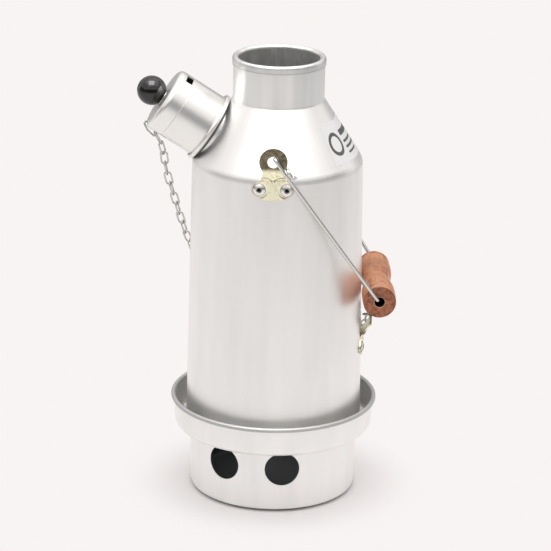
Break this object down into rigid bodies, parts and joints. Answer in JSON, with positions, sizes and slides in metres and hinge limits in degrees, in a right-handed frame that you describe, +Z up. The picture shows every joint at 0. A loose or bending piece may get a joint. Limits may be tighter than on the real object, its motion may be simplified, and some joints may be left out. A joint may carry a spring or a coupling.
{
  "type": "storm kettle",
  "caption": "Camping storm kettle with an inner chimney flue, a fire base with vents, a whistle cap on a chain and a swinging bail with a wooden grip.",
  "frame": {"origin": "centre of the fire base's underside, on the kettle's axis", "axes": "+Z up the chimney; -X towards the spout and whistle cap; -Y towards the front bail bracket; +X towards the pour bracket"},
  "size_m": [0.1656, 0.1332, 0.288],
  "materials": {
    "pan_steel": "satin",
    "body_steel": "satin",
    "flue_steel": "satin",
    "bracket_steel": "plain",
    "rivet_steel": "bright",
    "mandrel_steel": "dull",
    "bail_steel": "drawn wire",
    "grip_wood": "oiled hardwood",
    "cap_steel": "satin",
    "seal_rubber": "matt silicone",
    "whistle_steel": "plain",
    "knob_plastic": "polished",
    "screw_steel": "plain",
    "chain_steel": "bright",
    "label_film": "satin film"
  },
  "bodies": {
    "base": {"fire_base": "pan_steel"},
    "kettle": {"outer_shell": "body_steel", "flue": "flue_steel", "bottom_ring": "flue_steel", "spout_tube": "body_steel", "bail_bracket_front": "bracket_steel", "bail_bracket_rear": "bracket_steel", "pour_bracket": "bracket_steel", "bracket_rivets": "rivet_steel", "rivet_mandrels": "mandrel_steel", "label": "label_film", "chain_links": "chain_steel", "bracket_ring": "chain_steel"},
    "cap": {"whistle_cup": "cap_steel", "seal_sleeve": "seal_rubber", "whistle_discs": "whistle_steel", "disc_spacer": "whistle_steel", "knob": "knob_plastic", "knob_washer": "screw_steel", "knob_screw": "screw_steel", "cap_link": "chain_steel"},
    "bail": {"bail_wire": "bail_steel"},
    "grip": {"bail_grip": "grip_wood"}
  },
  "joints": [
    {"name": "kettle_lift", "type": "slide", "parent": "base", "child": "kettle", "axis": [0, 0, 1], "range_m": [0, 0.12]},
    {"name": "cap_pull", "type": "slide", "parent": "kettle", "child": "cap", "axis": [-0.8415, 0, 0.5402], "range_m": [0, 0.06], "deforming": ["chain_links"]},
    {"name": "bail_swing", "type": "hinge", "parent": "kettle", "child": "bail", "pos_m": [-0.0025, 0, 0.2362], "axis": [0, -1, 0], "range_deg": [0, 235]},
    {"name": "grip_turn", "type": "hinge", "parent": "bail", "child": "grip", "pos_m": [0.06506, 0, 0.1377], "axis": [-0.0297, 0.9996, 0], "continuous": true}
  ]
}
